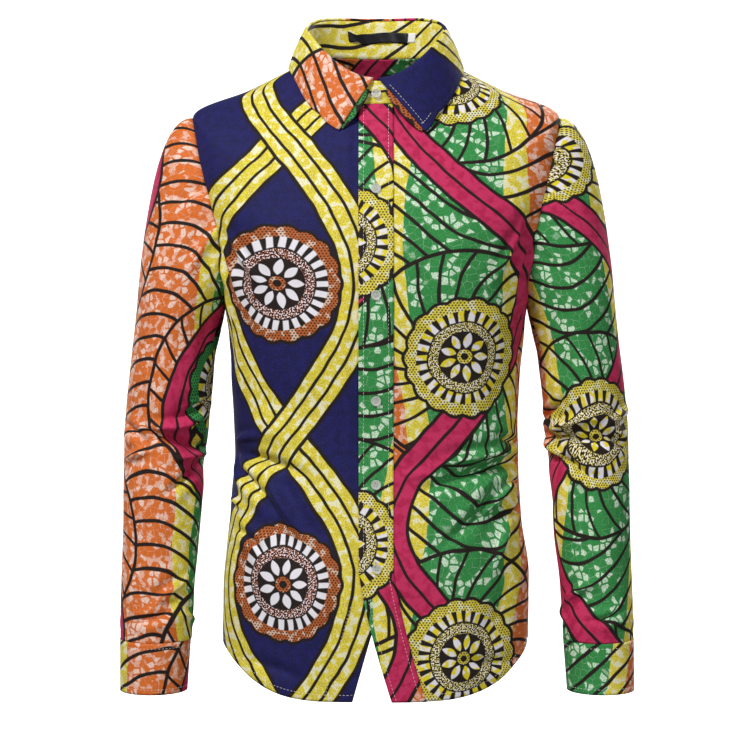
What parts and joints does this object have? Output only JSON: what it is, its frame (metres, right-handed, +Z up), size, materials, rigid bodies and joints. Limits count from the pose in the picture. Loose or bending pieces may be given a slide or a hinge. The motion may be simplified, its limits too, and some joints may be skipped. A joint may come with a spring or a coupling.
{
  "type": "african print shirt",
  "caption": "Man's slim long-sleeved button shirt in bright wax-print cotton with a pointed collar, placket and buttoned cuffs, worn open and hollow.",
  "frame": {"origin": "between the two points where neck and shoulder meet, where the wearer's shoulders hold the shirt", "axes": "+Z up, +X towards the wearer's left, the front faces -Y"},
  "size_m": [0.5844, 0.2472, 0.7689],
  "materials": {
    "print_navy": "printed cotton, navy ground",
    "print_green": "printed cotton, green ground",
    "print_yellow": "printed cotton, yellow ground",
    "print_orange": "printed cotton, orange ground",
    "print_magenta": "printed cotton, magenta ground",
    "button_resin": "clear resin",
    "label_satin": "satin ribbon",
    "tab_cotton": "woven tape"
  },
  "bodies": {
    "root": {"front_right": "print_navy", "front_left": "print_green", "back": "print_yellow", "sleeve_right": "print_orange", "sleeve_left": "print_orange", "cuff_right": "print_magenta", "cuff_left": "print_magenta", "collar_stand": "print_yellow", "collar_leaf": "print_orange", "placket_band": "print_yellow", "button_collar": "button_resin", "button_1": "button_resin", "button_2": "button_resin", "button_3": "button_resin", "button_4": "button_resin", "button_5": "button_resin", "button_cuff_right": "button_resin", "button_cuff_left": "button_resin", "neck_label": "label_satin", "size_tab": "tab_cotton"}
  },
  "joints": []
}
